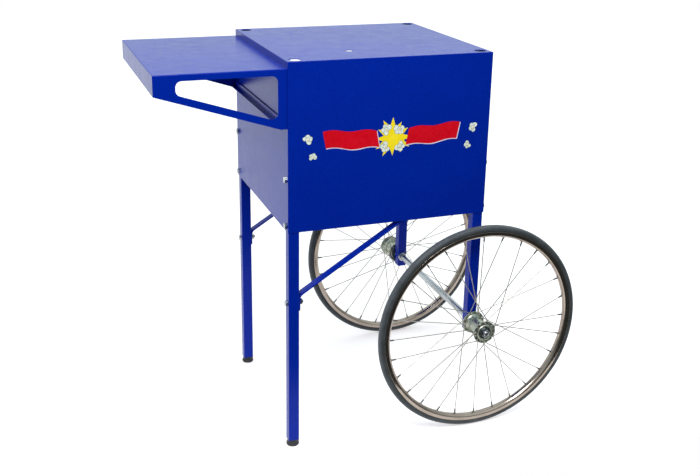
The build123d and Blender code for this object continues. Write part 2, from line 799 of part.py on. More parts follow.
def build_wheel(side, name):
    """One wheel: tyre, rim, crossed spokes with nipples, hub shell and its two plastic bushes."""
    middle = wheel_plane(side)
    in_place = middle.location
    nipple_rods = []
    spoke_rods = []
    flange_holes = []
    for start, end, flange_z, head_side in spoke_lines():
        join = end - (end - start).normalized() * nipple_length
        nipple_rods.append(rod_between(join, end, nipple_radius))
        hole_end = Vector(start.X, start.Y, flange_z + head_side * hub_flange_thickness / 2)
        head_end = hole_end + Vector(0, 0, head_side * spoke_head_height)
        with BuildPart() as spoke:
            add(rod_between(start, join, spoke_radius))
            add(rod_between(start, hole_end, spoke_radius))
            add(rod_between(hole_end, head_end, spoke_head_radius))
            with Locations(start):
                Sphere(spoke_radius)
        spoke_rods.append(spoke.part)
        flange_holes.append((start.X, start.Y))

    with BuildPart() as rim:
        add(ring_of(rim_outline(), side).part)
        with Locations(in_place):
            add(nipple_rods, mode=Mode.SUBTRACT)
    save(rim.part, f"{name}_wheel_rim")
    with BuildPart() as nipples:
        with Locations(in_place):
            add(nipple_rods)
    save(nipples.part, f"{name}_wheel_nipples")
    with BuildPart() as spokes:
        with Locations(in_place):
            add(spoke_rods)
    save(spokes.part, f"{name}_wheel_spokes")
    tyre = ring_of(tyre_outline(), side)
    save(tyre.part, f"{name}_wheel_tyre")

    with BuildPart() as hub:
        add(ring_of(hub_outline(), side).part)
        with BuildSketch(middle.offset(-hub_length / 2)):
            with Locations(*flange_holes):
                Circle(spoke_radius)
        extrude(amount=hub_length, mode=Mode.SUBTRACT)
    save(hub.part, f"{name}_wheel_hub")

    bore = axle_radius + bush_clearance
    inner_end = -hub_length / 2
    inner_bush = ring_of(
        [
            (bore, inner_end - bush_flange_thickness),
            (bush_flange_radius, inner_end - bush_flange_thickness),
            (bush_flange_radius, inner_end),
            (hub_bore_radius, inner_end),
            (hub_bore_radius, inner_end + bush_length),
            (bore, inner_end + bush_length),
        ],
        side,
    )
    save(inner_bush.part, f"{name}_wheel_inner_bush")
    outer_end = hub_length / 2 - bush_recess
    outer_bush = ring_of(
        [
            (bore, outer_end - bush_length),
            (hub_bore_radius, outer_end - bush_length),
            (hub_bore_radius, outer_end),
            (bore, outer_end),
        ],
        side,
    )
    save(outer_bush.part, f"{name}_wheel_outer_bush")


# ---------------------------------------------------------------- decal
def build_front_decal():
    """Printed film on the front: two slanted ribbons, a burst between them and round puffs."""
    middle_z = deck_height - decal_centre_drop
    film = Plane(origin=(cabinet_x, -cabinet_width / 2, middle_z), x_dir=(1, 0, 0), z_dir=(0, -1, 0))
    with BuildPart() as front_decal:
        with BuildSketch(film):
            for way in (-1, 1):
                near = way * ribbon_inner
                far = way * (ribbon_inner + ribbon_length)
                lean = way * ribbon_slant / 2
                with BuildLine():
                    Polyline(
                        (near - lean, -ribbon_height / 2),
                        (near + lean, ribbon_height / 2),
                        (far + lean, ribbon_height / 2 + ribbon_rise),
                        (far - lean, -ribbon_height / 2 + ribbon_rise),
                        close=True,
                    )
                make_face()
            with BuildLine():
                Polyline(*burst_outline(), close=True)
            make_face()
            with Locations(*[(way * x, y) for way in (-1, 1) for x, y in puff_places]):
                with PolarLocations(puff_ring, 3):
                    Circle(puff_radius)
        extrude(amount=decal_thickness)
    save(front_decal.part, "front_decal")


def burst_outline():
    """Points of a star, alternating between its outer and inner circles."""
    points = []
    for index in range(2 * burst_points):
        reach = burst_outer if index % 2 == 0 else burst_inner
        spot = Vector(reach, 0, 0).rotate(Axis.Z, index * 180 / burst_points)
        points.append((spot.X, spot.Y))
    return points


build_top_panel()
build_deck_angles()
build_front_panel()
build_side_panel(-1, "left_side_panel")
build_side_panel(1, "right_side_panel")
build_cabinet_floor()
build_floor_angles()
build_rear_top_rail()
build_front_decal()
build_shelf_tray()
build_shelf_wall_rail()
build_shelf_fixings()
for leg_y, leg_name in ((-leg_offset_y, "front"), (leg_offset_y, "rear")):
    build_long_leg(leg_y, leg_name)
    build_short_leg(leg_y, leg_name)
    build_foot(leg_y, leg_name)
    build_brace(leg_y, leg_name)
build_brace_fixings()
build_panel_fixings()
build_axle()
build_wheel(-1, "front")
build_wheel(1, "rear")
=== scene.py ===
"""A painted stand for a popcorn machine: powder coat, plated screws, crossed spokes and a printed front.

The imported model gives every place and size; this script adds the finishes, the pieces whose real
shape is finer than a plain solid, the studio and the camera.  Lengths are in metres.
"""
import math

import bmesh
import bpy
import numpy as np
from mathutils import Matrix, Vector


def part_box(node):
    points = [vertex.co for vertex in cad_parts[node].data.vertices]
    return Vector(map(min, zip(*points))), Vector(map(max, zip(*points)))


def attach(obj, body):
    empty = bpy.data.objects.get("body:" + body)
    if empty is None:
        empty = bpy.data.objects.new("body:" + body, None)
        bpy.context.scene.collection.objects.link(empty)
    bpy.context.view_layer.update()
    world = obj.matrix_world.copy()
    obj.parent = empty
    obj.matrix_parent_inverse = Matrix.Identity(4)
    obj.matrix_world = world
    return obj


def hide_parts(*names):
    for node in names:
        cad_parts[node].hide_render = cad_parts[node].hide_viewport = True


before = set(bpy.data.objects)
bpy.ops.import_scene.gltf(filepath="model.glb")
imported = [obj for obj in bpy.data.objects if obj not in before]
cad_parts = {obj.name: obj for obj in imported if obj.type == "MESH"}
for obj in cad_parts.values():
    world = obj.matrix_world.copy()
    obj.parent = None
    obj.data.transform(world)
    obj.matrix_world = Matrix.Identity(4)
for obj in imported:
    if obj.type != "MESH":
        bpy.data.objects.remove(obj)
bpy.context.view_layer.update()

MM = 0.001
TURN = 2 * math.pi
X, Y, Z = np.eye(3)


def corners(node):
    """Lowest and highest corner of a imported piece, as arrays."""
    low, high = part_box(node)
    return np.array(low), np.array(high)


def middle_and_half(node):
    """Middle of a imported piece's box, and half its size each way."""
    low, high = corners(node)
    return (low + high) / 2, (high - low) / 2


# ---------------------------------------------------------------- surfaces
WELD = 2e-7
SPECK = 1e-8


def unit(vectors):
    """Each vector over its own length."""
    return vectors / np.linalg.norm(vectors, axis=-1, keepdims=True)


def lattice(points, wrap_rows=False, wrap_columns=True):
    """Points and quads of a grid of points; a wrapped direction joins its last line to its first."""
    rows, columns = points.shape[:2]
    row, column = np.meshgrid(
        np.arange(rows if wrap_rows else rows - 1),
        np.arange(columns if wrap_columns else columns - 1),
        indexing="ij",
    )
    below, right = (row + 1) % rows, (column + 1) % columns
    here, under = row * columns, below * columns
    quads = [here + column, under + column, under + right, here + right]
    return points.reshape(-1, 3), np.stack(quads, -1).reshape(-1, 4)


def seat(origin, out, across):
    """Map from local points to the stand's frame: x goes across, z out, and y by the right hand."""
    out = np.asarray(out, float) / np.linalg.norm(out)
    across = np.asarray(across, float)
    axes = np.array([across, np.cross(out, across), out])
    return lambda local: local @ axes + np.asarray(origin)


def seated(surfaces, origin, out, across):
    """Local surfaces carried to one seat."""
    place = seat(origin, out, across)
    return [(place(points), quads) for points, quads in surfaces]


def unmoved(local):
    """The place of a surface that stays in its own local space."""
    return local


def copies(surface, origins, outs, acrosses):
    """One small local surface repeated at several seats."""
    return [seated([surface], *each)[0] for each in zip(origins, outs, acrosses)]


def parabola(first, corner, last, steps):
    """Curves from A to B that bend towards C: at share s, (1 - s)^2 A + 2 s (1 - s) C + s^2 B."""
    s = np.linspace(0, 1, steps)[None, :, None]
    return (1 - s) ** 2 * first[:, None] + 2 * s * (1 - s) * corner[:, None] + s**2 * last[:, None]


def eased(outline, reach, steps=5, closed=True):
    """Outline whose corners are parabolas, each from one side to the next at the reach from the corner."""
    outline = np.asarray(outline, float)
    reach = np.broadcast_to(np.asarray(reach, float), len(outline))[:, None]
    before, after = np.roll(outline, 1, 0) - outline, np.roll(outline, -1, 0) - outline
    gap_before = np.linalg.norm(before, axis=1, keepdims=True)
    gap_after = np.linalg.norm(after, axis=1, keepdims=True)
    reach = np.minimum(reach, 0.49 * np.minimum(gap_before, gap_after))
    first = outline + before / gap_before * reach
    last = outline + after / gap_after * reach
    curve = parabola(first, outline, last, steps)
    if not closed:
        curve = [outline[:1], curve[1:-1].reshape(-1, outline.shape[1]), outline[-1:]]
        return np.concatenate(curve)
    return curve.reshape(-1, outline.shape[1])


def both_sides(half):
    """Half an outline, then its mirror image in the second coordinate, from the last point back."""
    half = np.asarray(half, float)
    return np.concatenate([half, half[::-1] * (1, -1)])


def turned(profile, count, place, closed=False):
    """Profile of radius r and height h turned about local z: its points are (r cos a, r sin a, h)."""
    profile = np.asarray(profile, float)
    angle = np.arange(count) * TURN / count
    radius, height = profile[:, :1], profile[:, 1:2]
    ring = [radius * np.cos(angle), radius * np.sin(angle), height + 0 * angle]
    return lattice(place(np.stack(ring, -1)), wrap_rows=closed)


def tubes(paths, radius, sides, binormal):
    """Round rods along flat paths: at path point p and angle a the skin is p + r (cos a n + sin a b).

    Paths are (rod, point, 3), b is each rod's own unit normal to its plane and n = b x tangent.
    """
    tangent = unit(np.gradient(paths, axis=1))
    side = np.cross(binormal[:, None], tangent)
    angle = np.arange(sides) * TURN / sides
    swing = np.cos(angle)[:, None] * side[:, :, None] + np.sin(angle)[:, None] * binormal[:, None, None]
    return [lattice(rod) for rod in paths[:, :, None] + radius * swing]


def build(name, surfaces, finish, body, stands_for=(), crease=34):
    """One piece from several surfaces: seams welded, faces outwards, sharp only past the crease angle."""
    starts = np.cumsum([0] + [len(points) for points, _ in surfaces[:-1]])
    points = np.concatenate([points for points, _ in surfaces])
    faces = np.concatenate([quads + start for (_, quads), start in zip(surfaces, starts)])
    mesh = bpy.data.meshes.new(name)
    mesh.from_pydata(points.tolist(), [], faces.tolist())
    shell = bmesh.new()
    shell.from_mesh(mesh)
    bmesh.ops.remove_doubles(shell, verts=shell.verts, dist=WELD)
    bmesh.ops.dissolve_degenerate(shell, edges=shell.edges, dist=SPECK)
    bmesh.ops.recalc_face_normals(shell, faces=shell.faces)
    shell.to_mesh(mesh)
    shell.free()
    mesh.materials.append(finish)
    mesh.shade_smooth()
    mesh.set_sharp_from_angle(angle=math.radians(crease))
    piece = bpy.data.objects.new(name, mesh)
    bpy.context.scene.collection.objects.link(piece)
    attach(piece, body)
    if stands_for:
        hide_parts(*stands_for)
    return piece


# ---------------------------------------------------------------- finishes
def add_node(tree, kind, links=(), **values):
    """A new shader node, its inputs linked or set by name or number and its settings filled in."""
    made = tree.nodes.new("ShaderNode" + kind)
    for key, value in values.items():
        setattr(made, key, value)
    for key, value in dict(links).items():
        if isinstance(value, bpy.types.NodeSocket):
            tree.links.new(value, made.inputs[key])
        else:
            made.inputs[key].default_value = value
    return made


class Finish:
    """A material in the making: its patterns read the piece's Object coordinates."""

    def __init__(self, name, roughness, metallic=0.0, **sockets):
        self.material = bpy.data.materials.new(name)
        self.material.use_nodes = True
        self.tree = self.material.node_tree
        self.shader = self.tree.nodes["Principled BSDF"]
        self.place = self.tree.nodes.new("ShaderNodeTexCoord").outputs["Object"]
        self.shader.inputs["Roughness"].default_value = roughness
        self.shader.inputs["Metallic"].default_value = metallic
        for socket, value in sockets.items():
            self.shader.inputs[socket.replace("_", " ")].default_value = value

    def node(self, kind, links=(), **values):
        """A new node in this material."""
        return add_node(self.tree, kind, links, **values)

    def noise(self, scale, detail=2.0, rough=0.5, vector=None):
        """Noise with about so many clouds to the metre, over the piece or over another vector."""
        links = {"Vector": vector or self.place, "Scale": scale, "Detail": detail, "Roughness": rough}
        return self.node("TexNoise", links).outputs["Fac"]

    def cells(self, scale):
        """Distance to the middle of the nearest of so many cells to the metre."""
        return self.node("TexVoronoi", {"Vector": self.place, "Scale": scale}).outputs["Distance"]

    def span(self, value, low, high, start=0.0, stop=1.0):
        """Value from start..stop stretched to low..high."""
        links = {"Value": value, "From Min": start, "From Max": stop, "To Min": low, "To Max": high}
        return self.node("MapRange", links).outputs["Result"]

    def math(self, operation, a, b):
        """Two values put together by one operation."""
        return self.node("Math", {0: a, 1: b}, operation=operation).outputs["Value"]

    def shades(self, value, *stops):
        """Colour ramp through (place, colour) stops."""
        made = self.node("ValToRGB", {"Fac": value})
        elements = made.color_ramp.elements
        while len(elements) < len(stops):
            elements.new(0.5)
        for element, (place, colour) in zip(elements, stops):
            element.position = place
            element.color = (*colour, 1.0)
        return made.outputs["Color"]

    def paint(self, socket, output):
        """Lead a pattern into one of the shader's sockets."""
        self.tree.links.new(output, self.shader.inputs[socket])

    def rough_over(self, height, strength, distance, soft_edge=None):
        """Bump from a height pattern, over edges rounded to a small radius where one is given."""
        links = {"Height": height, "Strength": strength, "Distance": distance}
        if soft_edge:
            links["Normal"] = self.node("Bevel", {"Radius": soft_edge}, samples=4).outputs["Normal"]
        self.paint("Normal", self.node("Bump", links).outputs["Normal"])

    def apart(self, vector):
        """A vector's X, Y and Z."""
        return self.node("SeparateXYZ", {"Vector": vector}).outputs


def powder_coat():
    """Deep blue powder coat: a fine orange peel, faint clouds in the colour and duller patches."""
    coat = Finish("blue_powder_coat", 0.24, Specular_IOR_Level=0.12)
    clouds = coat.noise(5.0, 4.0, 0.6)
    specks = coat.noise(650.0, 1.0)
    tone = coat.math("ADD", coat.span(clouds, 0.0, 0.5), coat.span(specks, 0.0, 0.75, 0.25, 0.75))
    stops = ((0.25, (0.0, 0.0115, 0.225)), (0.95, (0.0, 0.0185, 0.315)))
    coat.paint("Base Color", coat.shades(tone, *stops))
    coat.paint("Roughness", coat.span(coat.noise(30.0, 5.0, 0.62), 0.2, 0.27, 0.25, 0.75))
    peel = coat.math("ADD", coat.noise(330.0, 1.5), coat.math("MULTIPLY", coat.noise(1200.0, 1.0), 0.35))
    coat.rough_over(peel, 0.45, 0.4 * MM, soft_edge=0.8 * MM)
    return coat.material


def zinc_plate():
    """Zinc plate: grey, a little blue in places and straw in others, with a fine grain."""
    zinc = Finish("zinc_plate", 0.28, 1.0)
    stops = ((0.25, (0.41, 0.44, 0.47)), (0.55, (0.48, 0.50, 0.51)), (0.85, (0.51, 0.49, 0.45)))
    zinc.paint("Base Color", zinc.shades(zinc.noise(120.0, 3.0, 0.6), *stops))
    zinc.paint("Roughness", zinc.span(zinc.noise(300.0, 4.0), 0.22, 0.32, 0.3, 0.7))
    zinc.rough_over(zinc.noise(1500.0, 2.0), 0.15, 0.05 * MM)
    return zinc.material


def hub_plate():
    """Passivated zinc: green, straw and blue-grey clouds over a pressed surface."""
    plate = Finish("hub_plate", 0.3, 1.0)
    stops = (
        (0.3, (0.26, 0.33, 0.29)),
        (0.45, (0.40, 0.45, 0.36)),
        (0.6, (0.48, 0.48, 0.40)),
        (0.75, (0.34, 0.40, 0.42)),
    )
    plate.paint("Base Color", plate.shades(plate.noise(55.0, 4.0, 0.65), *stops))
    plate.paint("Roughness", plate.span(plate.noise(160.0, 4.0, 0.6), 0.2, 0.42, 0.3, 0.7))
    plate.rough_over(plate.noise(700.0, 3.0), 0.25, 0.08 * MM)
    return plate.material


def rolled(finish):
    """Coordinates that are the same all round a wheel: radius from the axle, and place along it."""
    centre, _ = middle_and_half("front_wheel_tyre")
    links = {"Vector": finish.place, "Location": (-centre[0], 0.0, -centre[2])}
    from_axle = finish.node("Mapping", links).outputs["Vector"]
    links = {0: from_axle, 1: (1.0, 0.0, 1.0)}
    flat = finish.node("VectorMath", links, operation="MULTIPLY").outputs["Vector"]
    radius = finish.node("VectorMath", {0: flat}, operation="LENGTH").outputs["Value"]
    along = finish.apart(from_axle)["Y"]
    return finish.node("CombineXYZ", {"X": radius, "Y": along}).outputs["Vector"]


def rim_chrome():
    """Chromed steel strip: nearly a mirror, with faint haze and long roll lines round the wheel; its dark
    warm tan colour is a painted reflection.
    """
    chrome = Finish("rim_chrome", 0.12, 1.0)
    # Painted reflection: the base colour is darkened and warmed to tan to stand for dark, brownish
    # surroundings mirrored in the chrome.
    stops = ((0.35, (0.32, 0.265, 0.22)), (0.7, (0.41, 0.345, 0.295)))
    chrome.paint("Base Color", chrome.shades(chrome.noise(22.0, 4.0), *stops))
    chrome.paint("Roughness", chrome.span(chrome.noise(45.0, 5.0, 0.7), 0.09, 0.2, 0.35, 0.75))
    chrome.rough_over(chrome.noise(400.0, 2.0, 0.5, rolled(chrome)), 0.05, 0.05 * MM)
    return chrome.material


def plated_wire(name, dark, light):
    """Drawn steel with a thin plating, duller here and there."""
    wire = Finish(name, 0.3, 1.0)
    wire.paint("Base Color", wire.shades(wire.noise(90.0, 3.0), (0.35, dark), (0.7, light)))
    wire.paint("Roughness", wire.span(wire.noise(260.0, 3.0), 0.22, 0.44, 0.3, 0.7))
    wire.rough_over(wire.noise(2200.0, 2.0), 0.1, 0.03 * MM)
    return wire.material


def tyre_rubber():
    """Dark grey solid rubber: fine moulding lines round the wheel, a tread painted lighter than the sides
    as painted light (the sides read as painted shade), and faint blooms.
    """
    rubber = Finish("grey_tyre", 0.55, Specular_IOR_Level=0.25)
    radius = middle_and_half("front_wheel_tyre")[1][0]
    lit_tread_depth = 6 * MM
    polar = rolled(rubber)
    # Painted light: the outer band of the radius is lighter, so the darker sides stand for painted shade.
    painted_tread_light = rubber.span(rubber.apart(polar)["X"], 0.0, 0.45, radius - lit_tread_depth, radius)
    bloom = rubber.math("MULTIPLY", rubber.noise(38.0, 5.0, 0.65), 0.9)
    stops = ((0.25, (0.026, 0.029, 0.030)), (0.6, (0.050, 0.057, 0.063)), (0.95, (0.082, 0.091, 0.100)))
    rubber.paint("Base Color", rubber.shades(rubber.math("ADD", painted_tread_light, bloom), *stops))
    rubber.paint("Roughness", rubber.span(rubber.noise(70.0, 4.0), 0.46, 0.66, 0.3, 0.7))
    lines = rubber.noise(1500.0, 1.0, 0.4, polar)
    grain = rubber.math("MULTIPLY", rubber.noise(900.0, 3.0), 0.6)
    rubber.rough_over(rubber.math("ADD", lines, grain), 0.3, 0.12 * MM)
    return rubber.material


def moulded(name, dark, light, roughness, grain):
    """Moulded plastic: a close spark-eroded grain and a slight change of tone."""
    plastic = Finish(name, roughness)
    plastic.paint("Base Color", plastic.shades(plastic.noise(60.0, 4.0), (0.3, dark), (0.75, light)))
    patches = plastic.span(plastic.noise(200.0, 3.0), roughness - 0.08, roughness + 0.1, 0.3, 0.7)
    plastic.paint("Roughness", patches)
    plastic.rough_over(plastic.cells(grain), 0.25, 0.1 * MM)
    return plastic.material


def print_ink(name, dark, light, scale=45.0):
    """Printed vinyl: a glossy film whose ink drifts slightly in tone over a fine dot screen."""
    ink = Finish(name, 0.3, Specular_IOR_Level=0.4)
    drift = ink.math("ADD", ink.noise(scale, 3.0), ink.span(ink.cells(1400.0), 0.08, -0.08))
    ink.paint("Base Color", ink.shades(drift, (0.35, dark), (0.68, light)))
    ink.paint("Roughness", ink.span(ink.noise(120.0, 3.0), 0.24, 0.38, 0.3, 0.7))
    ink.rough_over(ink.noise(500.0, 2.0), 0.08, 0.05 * MM)
    return ink.material


BLUE = powder_coat()
ZINC = zinc_plate()
HUB = hub_plate()
CHROME = rim_chrome()
WIRE = plated_wire("spoke_steel", (0.36, 0.33, 0.29), (0.52, 0.48, 0.42))
NIPPLE = plated_wire("nipple_plate", (0.10, 0.10, 0.09), (0.22, 0.21, 0.19))
RUBBER = tyre_rubber()
BLACK = moulded("black_plastic", (0.005, 0.005, 0.006), (0.014, 0.014, 0.016), 0.45, 1100.0)
NYLON = moulded("bush_plastic", (0.016, 0.026, 0.032), (0.035, 0.052, 0.060), 0.38, 700.0)

PAINTED = (
    "top_panel", "deck_angles", "front_panel", "left_side_panel", "right_side_panel", "cabinet_floor",
    "floor_angles", "rear_top_rail", "shelf_tray", "shelf_wall_rail", "front_long_leg", "rear_long_leg",
    "front_short_leg", "rear_short_leg", "front_short_leg_cap", "rear_short_leg_cap",
)
LEG_PLUGS = ("front_leg_insert", "rear_leg_insert")


def dress(names, finish):
    """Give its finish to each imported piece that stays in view."""
    for name in names:
        for material_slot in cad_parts[name].material_slots:
            material_slot.material = finish


dress(PAINTED, BLUE)
dress(LEG_PLUGS, BLACK)

# ---------------------------------------------------------------- wheel sizes
# Radii are from the axle, and half widths and places are along it, from the middle of the wheel.
WHEEL_RADIUS, TYRE_HALF, _ = middle_and_half("front_wheel_tyre")[1]
RIM_EDGE, RIM_HALF, _ = middle_and_half("front_wheel_rim")[1]
RIM_SHOULDER = RIM_EDGE - 9.1 * MM
RIM_WELL = RIM_EDGE - 14.1 * MM
RIM_WALL = 1.6 * MM
WELL_HALF = 4 * MM
FLANGE_RADIUS, HUB_HALF, _ = middle_and_half("front_wheel_hub")[1]
FLANGE_HALF = 1.5 * MM
FLANGE_PLACE = 29 * MM
BARREL = 17 * MM
HUB_BORE = 15 * MM
HOLE_CIRCLE = 24 * MM
SPOKE = 1.0 * MM
SPOKE_BEND = 2.3 * MM
SPOKES_PER_FLANGE = 14
CROSSINGS = 2
HEAD_ROOM = 1.0 * MM
NIPPLE_LENGTH = 13 * MM
THREADED_IN = 1.5 * MM
AXLE = 6 * MM
BUSH_BORE = AXLE + 0.05 * MM
BUSH_DEPTH = 14 * MM


def wheel_piece(name, piece, surfaces, finish, node):
    """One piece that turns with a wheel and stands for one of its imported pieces."""
    build(f"{name}_{piece}", surfaces, finish, f"{name}_wheel", (f"{name}_wheel_{node}",))


def wheel_tyre(name, place):
    """Solid tyre turned about the axle: a round crown over a straight seat in the rim.

    At angle a from -90 to 90 degrees the crown's radius is R - b + b (cos a)^0.82, and its place
    across is w sin a (1 - 0.02 (cos 3a)^2): R is the wheel's radius, b the crown's depth, w half its width.
    """
    swing = np.radians(np.linspace(-90, 90, 29))
    depth = 10 * MM
    radius = WHEEL_RADIUS - depth + depth * np.cos(swing) ** 0.82
    across = TYRE_HALF * np.sin(swing) * (1 - 0.02 * np.cos(3 * swing) ** 2)
    lip = RIM_HALF - RIM_WALL - 0.1 * MM
    foot = RIM_SHOULDER + RIM_WALL
    seat_in = both_sides([(RIM_EDGE + 1.2 * MM, lip + 0.5 * MM), (RIM_EDGE, lip), (foot, lip)])
    outline = np.concatenate([np.stack([radius, across], 1), seat_in])
    tyre = turned(outline, 256, place, closed=True)
    wheel_piece(name, "tyre", [tyre], RUBBER, "tyre")


def wheel_rim(name, place):
    """Rolled channel turned about the axle: a bent strip, and the same strip a wall further in."""
    inner = RIM_HALF - RIM_WALL
    outside = both_sides([(RIM_EDGE, -RIM_HALF), (RIM_SHOULDER, -RIM_HALF), (RIM_WELL, -WELL_HALF)])
    floor = RIM_WELL + RIM_WALL
    inside = both_sides([(RIM_EDGE, inner), (RIM_SHOULDER + RIM_WALL, inner), (floor, WELL_HALF)])
    lip, shoulder, well, hollow = 0.7 * MM, 3.2 * MM, 3.0 * MM, 2.0 * MM
    reach = [lip, shoulder, well, well, shoulder, lip] + [lip, hollow, hollow, hollow, hollow, lip]
    outline = eased(np.concatenate([outside, inside]), reach, steps=7)
    strip = turned(outline, 288, place, closed=True)
    wheel_piece(name, "rim", [strip], CHROME, "rim")


def spoke_layout():
    """Corner, rim end, head, head side and rim angle of every spoke in the wheel's own space.

    Even spokes lie outside their flange and lean forwards by the crossings; odd ones lie inside it
    and lean back.
    """
    flange = np.repeat([-1.0, 1.0], SPOKES_PER_FLANGE)
    index = np.tile(np.arange(SPOKES_PER_FLANGE), 2)
    lean = np.where(index % 2 == 0, 1.0, -1.0)
    step = TURN / SPOKES_PER_FLANGE
    hub_angle = np.where(flange < 0, 0.0, step / 2) + index * step
    rim_angle = hub_angle + lean * CROSSINGS * step
    stand_off = FLANGE_HALF + SPOKE + np.where(lean > 0, HEAD_ROOM, 0.0)
    hole = np.stack([HOLE_CIRCLE * np.cos(hub_angle), HOLE_CIRCLE * np.sin(hub_angle)], 1)
    start = np.column_stack([hole, flange * FLANGE_PLACE + flange * lean * stand_off])
    head = np.column_stack([hole, flange * FLANGE_PLACE - lean * flange * FLANGE_HALF])
    reach = RIM_WELL + RIM_WALL
    end = np.stack([reach * np.cos(rim_angle), reach * np.sin(rim_angle), 0 * rim_angle], 1)
    return start, end, head, -lean * flange, rim_angle


START, END, HEAD, HEAD_SIDE, RIM_ANGLE = spoke_layout()
ALONG = unit(END - START)


def wire_spokes(name, place, carry):
    """Wire spokes: round rods, straight but for a parabola about the corner, and their turned heads."""
    back = unit(HEAD - START)
    elbow = parabola(START + back * SPOKE_BEND, START, START + ALONG * SPOKE_BEND, 7)
    join = END - ALONG * (NIPPLE_LENGTH - THREADED_IN)
    paths = np.concatenate([HEAD[:, None], elbow, join[:, None]], 1)
    rods = tubes(place(paths), SPOKE, 10, carry(unit(np.cross(ALONG, back))))
    cap = np.array([(0, 0), (1.0, 0), (1.9, 0.05), (1.95, 0.4), (1.7, 0.8), (1.1, 1.12), (0, 1.2)]) * MM
    outs = carry(np.column_stack([0 * HEAD_SIDE, 0 * HEAD_SIDE, HEAD_SIDE]))
    heads = copies(turned(cap, 12, unmoved), place(HEAD), outs, np.tile(X, (len(HEAD), 1)))
    wheel_piece(name, "spokes", rods + heads, WIRE, "spokes")


def squared(profile, flattened, count):
    """Turned profile with four flats: r times (|cos a|^6 + |sin a|^6)^(-1/6) on its flattened rows."""
    profile = np.asarray(profile, float)
    angle = np.arange(count) * TURN / count + TURN / (2 * count)
    swell = (np.abs(np.cos(angle)) ** 6 + np.abs(np.sin(angle)) ** 6) ** (-1 / 6)
    radius = profile[:, :1] * (1 + np.array(flattened)[:, None] * (swell - 1))
    points = np.stack([radius * np.cos(angle), radius * np.sin(angle), profile[:, 1:] + 0 * angle], -1)
    return lattice(points)


def spoke_nipples(name, place, carry):
    """Nipples: a body with four flats that ends in a round head inside the rim."""
    body = [(0, 0), (1.15, 0), (1.55, 0.5), (1.6, 9.4), (2.0, 10.2), (2.0, 13.0), (0, 13.0)]
    nipple = squared(np.array(body) * MM, [0, 1, 1, 1, 0, 0, 0], 16)
    outs = carry(ALONG)
    nipples = copies(nipple, place(END - ALONG * NIPPLE_LENGTH), outs, unit(np.cross(outs, Y)))
    wheel_piece(name, "nipples", nipples, NIPPLE, "nipples")


def rim_collars(name, place, carry):
    """Pressed collar round each spoke hole: a small eased outline turned about the spoke's radius."""
    radial = np.stack([np.cos(RIM_ANGLE), np.sin(RIM_ANGLE), 0 * RIM_ANGLE], 1)
    outline = np.array([(2.05, -0.3), (3.7, -0.3), (3.3, 0.7), (2.4, 0.9), (2.05, 0.6)]) * MM
    collar = turned(eased(outline, 0.25 * MM, 3), 18, unmoved, closed=True)
    collars = copies(collar, place(radial * RIM_WELL), carry(-radial), np.tile(Y, (len(radial), 1)))
    build(f"{name}_rim_collars", collars, CHROME, f"{name}_wheel")


def wheel_hub(name, place):
    """Pressed hub shell, turned: dished flanges that flow into the barrel, and rolled mouths."""
    outer, inner = FLANGE_PLACE + FLANGE_HALF, FLANGE_PLACE - FLANGE_HALF
    dish = HOLE_CIRCLE - 2.6 * MM
    side = [
        (HUB_BORE, HUB_HALF - 0.6 * MM),
        (HUB_BORE + 1.0 * MM, HUB_HALF),
        (BARREL + 0.8 * MM, HUB_HALF),
        (BARREL + 1.6 * MM, outer),
        (dish - 0.8 * MM, outer - 0.9 * MM),
        (dish, outer),
        (FLANGE_RADIUS, outer),
        (FLANGE_RADIUS, inner),
        (dish, inner),
        (BARREL + 2.2 * MM, inner - 2.4 * MM),
        (BARREL - 0.4 * MM, FLANGE_PLACE - 10 * MM),
    ]
    half = both_sides(side)
    waist = [(BARREL - 0.9 * MM, 0.0)]
    outline = np.concatenate([half[: len(side)], waist, half[len(side) :]])
    shell = turned(eased(outline, 0.9 * MM, 4), 96, place, closed=True)
    wheel_piece(name, "hub_shell", [shell], HUB, "hub")


def wheel_bushes(name, place):
    """Two turned nylon bushes: the inner one with a grooved collar, the outer one sunk into the hub."""
    collar = HUB_HALF + 4 * MM
    groove = collar - 1.2 * MM
    disc = [(BUSH_BORE, -collar), (11 * MM, -collar), (12.5 * MM, -groove), (16 * MM, -groove)]
    disc += [(17 * MM, -collar), (20 * MM, -collar), (20 * MM, -HUB_HALF), (HUB_BORE, -HUB_HALF)]
    disc += [(HUB_BORE, -HUB_HALF + BUSH_DEPTH), (BUSH_BORE, -HUB_HALF + BUSH_DEPTH)]
    inner = turned(eased(disc, 0.6 * MM, 4), 72, place, closed=True)
    wheel_piece(name, "inner_bush", [inner], NYLON, "inner_bush")
    face = HUB_HALF - 6 * MM
    groove = face - 1.0 * MM
    plug = [(BUSH_BORE, face), (10 * MM, face), (11 * MM, groove), (13 * MM, groove), (14 * MM, face)]
    plug += [(HUB_BORE, face), (HUB_BORE, face - BUSH_DEPTH), (BUSH_BORE, face - BUSH_DEPTH)]
    outer = turned(eased(plug, 0.5 * MM, 4), 72, place, closed=True)
    wheel_piece(name, "outer_bush", [outer], NYLON, "outer_bush")


def wheel(name):
    """One whole wheel about its own middle, with local z along the axle away from the stand."""
    centre, _ = middle_and_half(f"{name}_wheel_tyre")
    out = Y * np.sign(centre[1])
    place = seat(centre, out, X)
    carry = seat(np.zeros(3), out, X)
    wheel_tyre(name, place)
    wheel_rim(name, place)
    wire_spokes(name, place, carry)
    spoke_nipples(name, place, carry)
    rim_collars(name, place, carry)
    wheel_hub(name, place)
    wheel_bushes(name, place)


wheel("front")
wheel("rear")

# ---------------------------------------------------------------- screws, nuts and washers
M8 = {"radius": 4 * MM, "pitch": 1.25 * MM, "flats": 13 * MM, "head": 5.3 * MM}
M6 = {"radius": 3 * MM, "pitch": 1.0 * MM, "flats": 10 * MM, "head": 4 * MM}
NUT_8 = 6.5 * MM
NUT_6 = 5 * MM
THREAD_FIT = 0.97


def hexagon(angle):
    """Radius of a hexagon whose flats touch a unit circle: 1 / cos of the angle from the nearest flat."""
    sixth = TURN / 6
    return 1 / np.cos((angle + sixth / 2) % sixth - sixth / 2)


